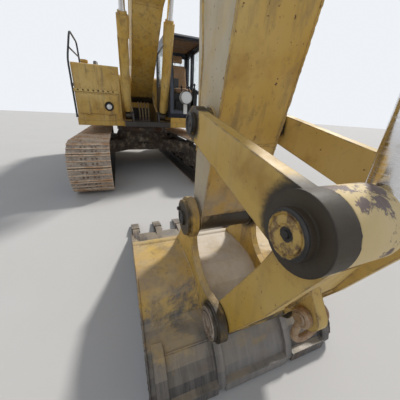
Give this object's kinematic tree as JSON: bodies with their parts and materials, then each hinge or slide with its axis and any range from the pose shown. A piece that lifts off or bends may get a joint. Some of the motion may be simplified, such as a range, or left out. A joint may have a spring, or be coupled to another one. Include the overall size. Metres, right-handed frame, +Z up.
{
  "type": "crawler excavator",
  "caption": "Weathered yellow crawler excavator with boom, stick and bucket, cab on the left and triple-grouser tracks.",
  "frame": {"origin": "centre of the footprint, on the ground under the tracks", "axes": "+X towards the bucket, +Y to the machine's left (cab side), +Z up"},
  "size_m": [8.7061, 2.852, 4.3466],
  "materials": {
    "worn_yellow": "worn satin",
    "dark_paint": "dusty",
    "dusty_steel": "dusty",
    "cab_blue": "satin",
    "glass": "clear",
    "seat_cloth": "worn",
    "lamp_white": "gloss",
    "hose_rubber": "matte",
    "chrome_rod": "polished",
    "scraped_steel": "scraped"
  },
  "bodies": {
    "undercarriage": {"car_body": "dark_paint", "track_frame_left": "dark_paint", "track_frame_right": "dark_paint", "track_left": "dusty_steel", "track_right": "dusty_steel", "idler_left": "dusty_steel", "idler_right": "dusty_steel", "sprocket_left": "dusty_steel", "sprocket_right": "dusty_steel", "slew_ring": "dusty_steel"},
    "upper": {"platform": "worn_yellow", "counterweight": "worn_yellow", "engine_block": "dark_paint", "engine_house": "worn_yellow", "fuel_tank": "worn_yellow", "handrails": "dark_paint", "exhaust_stack": "dark_paint", "cab_shell": "cab_blue", "cab_glass": "glass", "seat": "seat_cloth", "seat_base": "dark_paint", "cab_controls": "dark_paint", "work_lamp": "lamp_white", "head_lamp": "lamp_white", "hose_bank": "hose_rubber"},
    "hood": {"engine_hood": "worn_yellow"},
    "door_left": {"side_door_left": "worn_yellow"},
    "door_right": {"side_door_right": "worn_yellow"},
    "tool_lid": {"tool_box_lid": "worn_yellow"},
    "cab_door_leaf": {"cab_door": "worn_yellow", "cab_door_glass": "glass"},
    "boom_arm": {"boom": "worn_yellow"},
    "boom_barrels": {"boom_cylinders": "worn_yellow"},
    "boom_rod_pair": {"boom_rods": "chrome_rod"},
    "stick_barrel": {"stick_cylinder": "worn_yellow"},
    "stick_rod_part": {"stick_rod": "chrome_rod"},
    "stick_arm": {"stick": "worn_yellow"},
    "bucket_barrel": {"bucket_cylinder": "worn_yellow"},
    "bucket_rod_part": {"bucket_rod": "chrome_rod"},
    "idler_pair": {"idler_links": "worn_yellow"},
    "power_link_part": {"power_link": "worn_yellow"},
    "bucket_part": {"bucket": "scraped_steel"}
  },
  "joints": [
    {"name": "swing", "type": "hinge", "parent": "undercarriage", "child": "upper", "pos_m": [-1.603, 0, 1.085], "axis": [0, 0, 1], "continuous": true},
    {"name": "boom_lift", "type": "hinge", "parent": "upper", "child": "boom_arm", "pos_m": [-1.453, 0, 1.72], "axis": [0, -1, 0], "range_deg": [-28, 52]},
    {"name": "boom_barrel_tilt", "type": "hinge", "parent": "upper", "child": "boom_barrels", "pos_m": [-0.663, 0, 1.29], "axis": [0, -1, 0], "range_deg": [-26.03, 48.31]},
    {"name": "boom_rod_slide", "type": "slide", "parent": "boom_barrels", "child": "boom_rod_pair", "axis": [0.4638, 0, 0.8859], "range_m": [-0.40758, 0.75651]},
    {"name": "stick_swing", "type": "hinge", "parent": "boom_arm", "child": "stick_arm", "pos_m": [3.75678, 0, 3.54444], "axis": [0, 1, 0], "range_deg": [-75, 35]},
    {"name": "stick_barrel_tilt", "type": "hinge", "parent": "boom_arm", "child": "stick_barrel", "pos_m": [1.14576, 0, 3.98099], "axis": [0, 1, 0], "range_deg": [-5.97, 2.81]},
    {"name": "stick_rod_slide", "type": "slide", "parent": "stick_barrel", "child": "stick_rod_part", "axis": [0.9959, 0, 0.0902], "range_m": [-0.93905, 0.43849]},
    {"name": "bucket_curl", "type": "hinge", "parent": "stick_arm", "child": "bucket_part", "pos_m": [3.37678, 0, 0.77034], "axis": [0, 1, 0], "range_deg": [-70, 50]},
    {"name": "bucket_barrel_tilt", "type": "hinge", "parent": "stick_arm", "child": "bucket_barrel", "pos_m": [4.26926, 0, 3.45405], "axis": [0, 1, 0], "range_deg": [-1.87, 1.35]},
    {"name": "bucket_rod_slide", "type": "slide", "parent": "bucket_barrel", "child": "bucket_rod_part", "axis": [-0.0095, 0, -1], "range_m": [-0.66023, 0.47174]},
    {"name": "idler_link_swing", "type": "hinge", "parent": "stick_arm", "child": "idler_pair", "pos_m": [3.50973, 0, 1.35774], "axis": [0, 1, 0], "range_deg": [-54.09, 38.65]},
    {"name": "power_link_swing", "type": "hinge", "parent": "idler_pair", "child": "power_link_part", "pos_m": [4.24754, 0, 1.17543], "axis": [0, 1, 0], "range_deg": [-28.8, 40.3]},
    {"name": "cab_door_hinge", "type": "hinge", "parent": "upper", "child": "cab_door_leaf", "pos_m": [-1.52, 1.412, 2], "axis": [0, 0, 1], "range_deg": [0, 160]},
    {"name": "side_door_left_hinge", "type": "hinge", "parent": "upper", "child": "door_left", "pos_m": [-3.5867, 1.362, 1.65], "axis": [0, 0, 1], "range_deg": [0, 100]},
    {"name": "side_door_right_hinge", "type": "hinge", "parent": "upper", "child": "door_right", "pos_m": [-3.5867, -1.362, 1.65], "axis": [0, 0, -1], "range_deg": [0, 100]},
    {"name": "hood_hinge", "type": "hinge", "parent": "upper", "child": "hood", "pos_m": [-2.37, 0, 2.188], "axis": [0, 1, 0], "range_deg": [0, 60]},
    {"name": "tool_lid_hinge", "type": "hinge", "parent": "upper", "child": "tool_lid", "pos_m": [-0.388, -0.9, 1.297], "axis": [0, 1, 0], "range_deg": [0, 90]}
  ],
  "couplings": [
    {"joint": "boom_barrel_tilt", "follows": "boom_lift", "ratio": 0.928},
    {"joint": "boom_rod_slide", "follows": "boom_lift", "m_per_rad": 0.833},
    {"joint": "stick_barrel_tilt", "follows": "stick_swing", "ratio": 0.079},
    {"joint": "stick_rod_slide", "follows": "stick_swing", "m_per_rad": 0.717},
    {"joint": "bucket_barrel_tilt", "follows": "bucket_curl", "ratio": 0.026},
    {"joint": "bucket_rod_slide", "follows": "bucket_curl", "m_per_rad": 0.54},
    {"joint": "idler_link_swing", "follows": "bucket_curl", "ratio": 0.772},
    {"joint": "power_link_swing", "follows": "bucket_curl", "ratio": -0.575}
  ]
}
